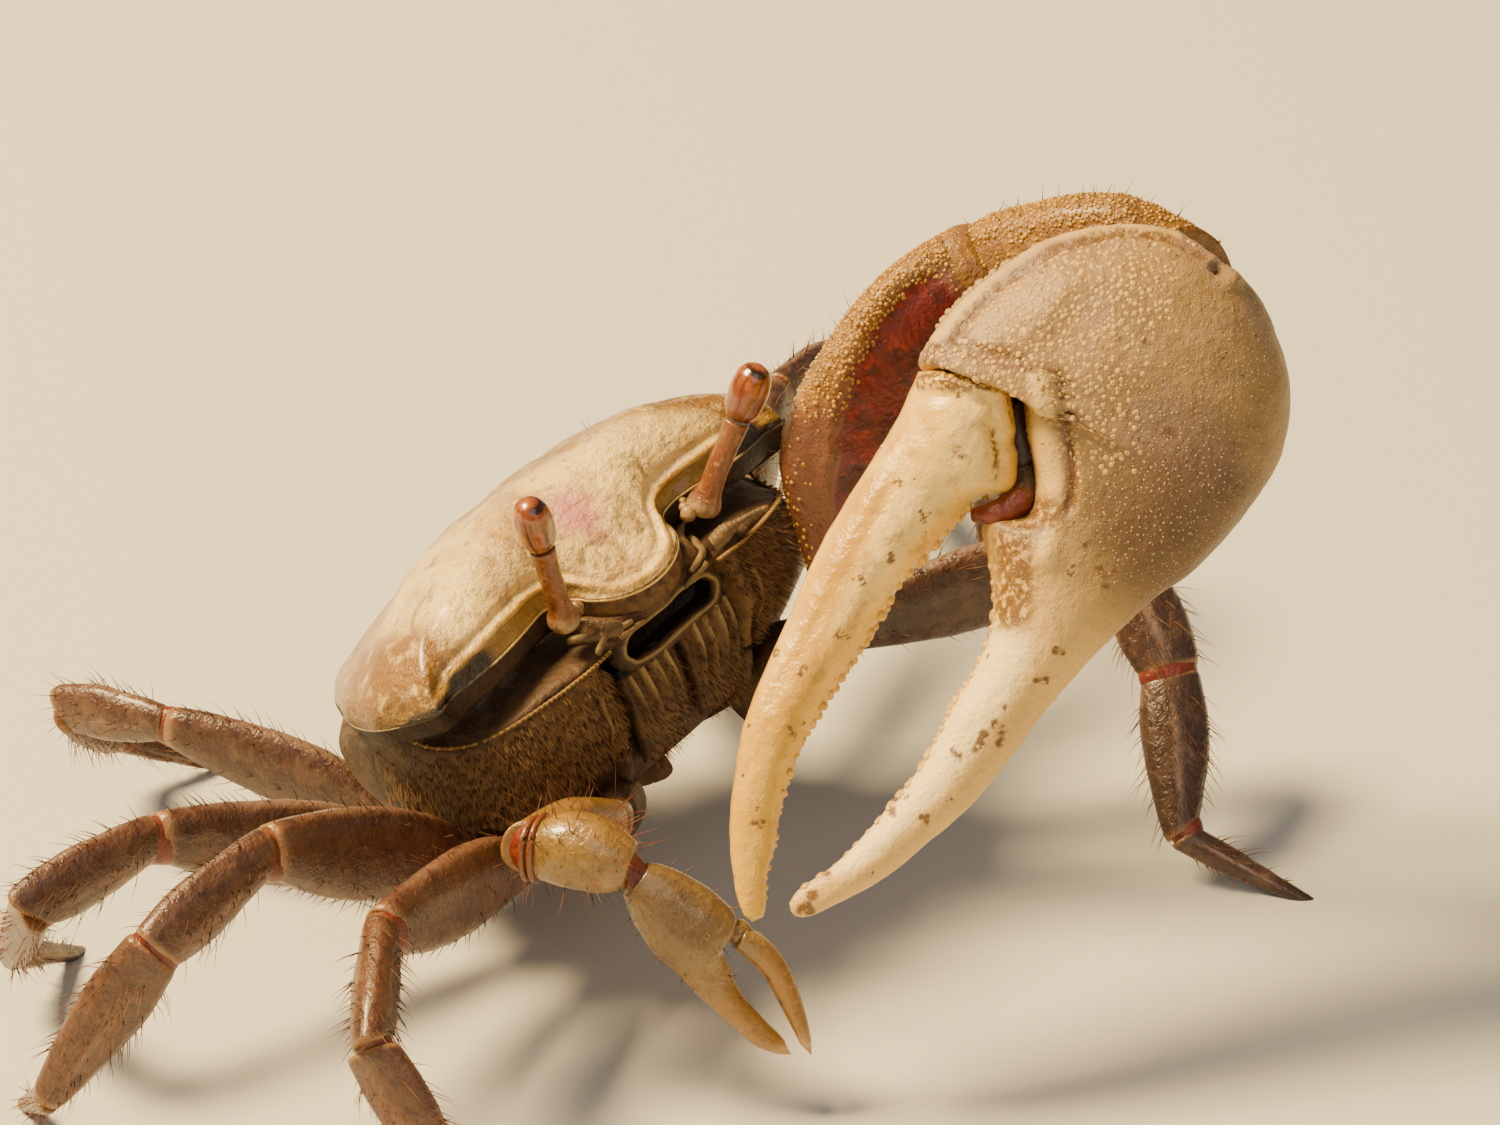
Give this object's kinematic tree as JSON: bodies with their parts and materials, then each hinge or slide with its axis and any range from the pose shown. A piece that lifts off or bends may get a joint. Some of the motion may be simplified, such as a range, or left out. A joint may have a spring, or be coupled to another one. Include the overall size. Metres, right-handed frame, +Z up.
{
  "type": "fiddler crab",
  "caption": "Still life-size male fiddler crab standing on its walking legs, eyes raised and its one great left claw held flexed across the front of the body.",
  "frame": {"origin": "On the floor, under the middle of the box round the whole crab.", "axes": "+Z up. The crab's head is towards -Y and its left side, with the great claw, is towards +X."},
  "size_m": [0.0806, 0.056, 0.0384],
  "materials": {
    "carapace_shell": "hard glossy shell, pale lilac-grey with golden-brown mottling",
    "hairy_face": "dark brown shell under short tan hairs",
    "walking_leg": "hard glossy shell, mauve-brown",
    "claw_arm": "hard granular shell, golden tan to dark red",
    "great_claw": "hard shell with pale granules, lilac-cream to ivory",
    "ivory_finger": "hard smooth shell, ivory to orange-yellow",
    "small_claw": "hard thin shell, olive-tan with amber fingers",
    "eyestalk": "smooth shell, amber to orange-brown",
    "cornea": "smooth wet gloss, orange-brown"
  },
  "bodies": {
    "root": {"abdomen": "hairy_face", "antenna_left": "eyestalk", "antenna_right": "eyestalk", "carapace": "carapace_shell", "cornea_left": "cornea", "cornea_right": "cornea", "eyestalk_left": "eyestalk", "eyestalk_right": "eyestalk", "face_shell": "hairy_face", "great_arm_carpus": "claw_arm", "great_arm_ischium": "claw_arm", "great_arm_merus": "claw_arm", "great_claw_finger": "ivory_finger", "great_claw_palm": "great_claw", "leg2_left_carpus": "walking_leg", "leg2_left_dactyl": "walking_leg", "leg2_left_merus": "walking_leg", "leg2_left_propodus": "walking_leg", "leg2_right_carpus": "walking_leg", "leg2_right_dactyl": "walking_leg", "leg2_right_merus": "walking_leg", "leg2_right_propodus": "walking_leg", "leg3_left_carpus": "walking_leg", "leg3_left_dactyl": "walking_leg", "leg3_left_merus": "walking_leg", "leg3_left_propodus": "walking_leg", "leg3_right_carpus": "walking_leg", "leg3_right_dactyl": "walking_leg", "leg3_right_merus": "walking_leg", "leg3_right_propodus": "walking_leg", "leg4_left_carpus": "walking_leg", "leg4_left_dactyl": "walking_leg", "leg4_left_merus": "walking_leg", "leg4_left_propodus": "walking_leg", "leg4_right_carpus": "walking_leg", "leg4_right_dactyl": "walking_leg", "leg4_right_merus": "walking_leg", "leg4_right_propodus": "walking_leg", "leg5_left_carpus": "walking_leg", "leg5_left_dactyl": "walking_leg", "leg5_left_merus": "walking_leg", "leg5_left_propodus": "walking_leg", "leg5_right_carpus": "walking_leg", "leg5_right_dactyl": "walking_leg", "leg5_right_merus": "walking_leg", "leg5_right_propodus": "walking_leg", "maxilliped_left": "hairy_face", "maxilliped_right": "hairy_face", "small_arm_carpus": "small_claw", "small_arm_ischium": "small_claw", "small_arm_merus": "small_claw", "small_claw_finger": "small_claw", "small_claw_palm": "small_claw", "sternum": "hairy_face"}
  },
  "joints": []
}
